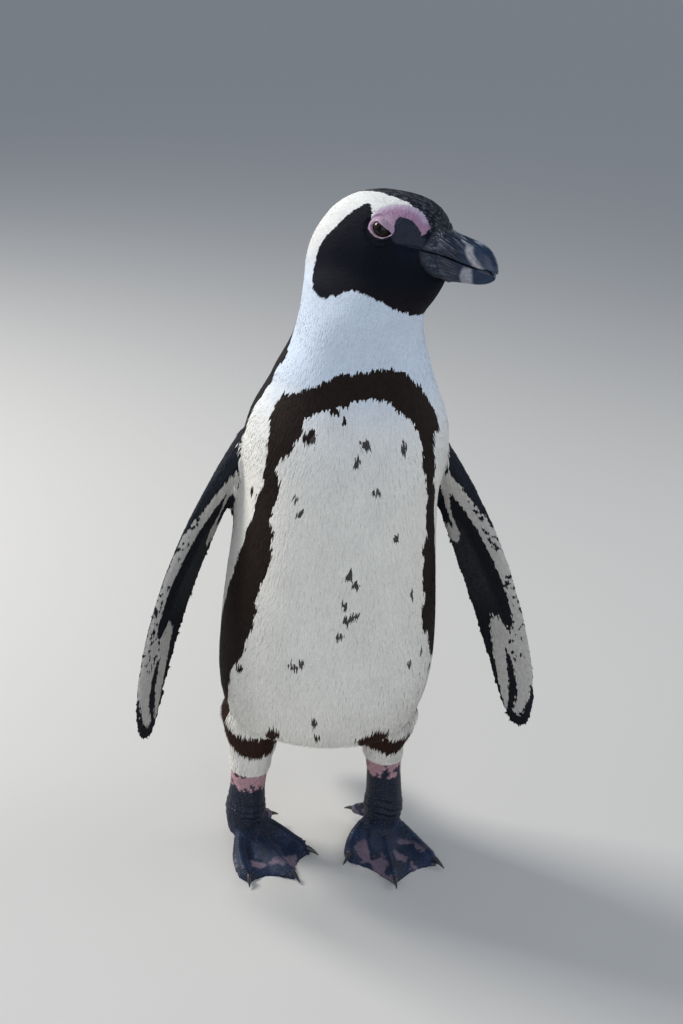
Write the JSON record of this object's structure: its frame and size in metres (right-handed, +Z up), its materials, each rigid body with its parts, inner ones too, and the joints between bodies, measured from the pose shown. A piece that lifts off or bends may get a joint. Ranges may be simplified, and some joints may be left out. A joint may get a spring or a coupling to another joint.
{
  "type": "standing african penguin model",
  "caption": "Life-size still model of an adult African penguin standing on webbed feet, flippers held out, head turned aside.",
  "frame": {"origin": "middle of the bird's bounding box at the floor, under the belly", "axes": "+Z up, -Y the way the belly faces, +X towards the bird's own left"},
  "size_m": [0.3208, 0.2088, 0.5454],
  "materials": {
    "feather_white": "soft white feathers",
    "feather_black": "soft brownish black feathers",
    "bill_horn": "polished black horn with a pale band",
    "eye": "wet dark brown eye",
    "foot_skin": "scaly black skin with pink patches",
    "claw_horn": "black horn"
  },
  "bodies": {
    "root": {"head": "feather_black", "neck": "feather_white", "trunk": "feather_white", "tail": "feather_black", "bill_upper": "bill_horn", "bill_lower": "bill_horn", "eye_left": "eye", "eye_right": "eye", "flipper_left": "feather_black", "flipper_right": "feather_black", "leg_left": "feather_white", "leg_right": "feather_white", "foot_left": "foot_skin", "foot_right": "foot_skin", "claw_left_inner": "claw_horn", "claw_left_middle": "claw_horn", "claw_left_outer": "claw_horn", "claw_left_hind": "claw_horn", "claw_right_inner": "claw_horn", "claw_right_middle": "claw_horn", "claw_right_outer": "claw_horn", "claw_right_hind": "claw_horn"}
  },
  "joints": []
}
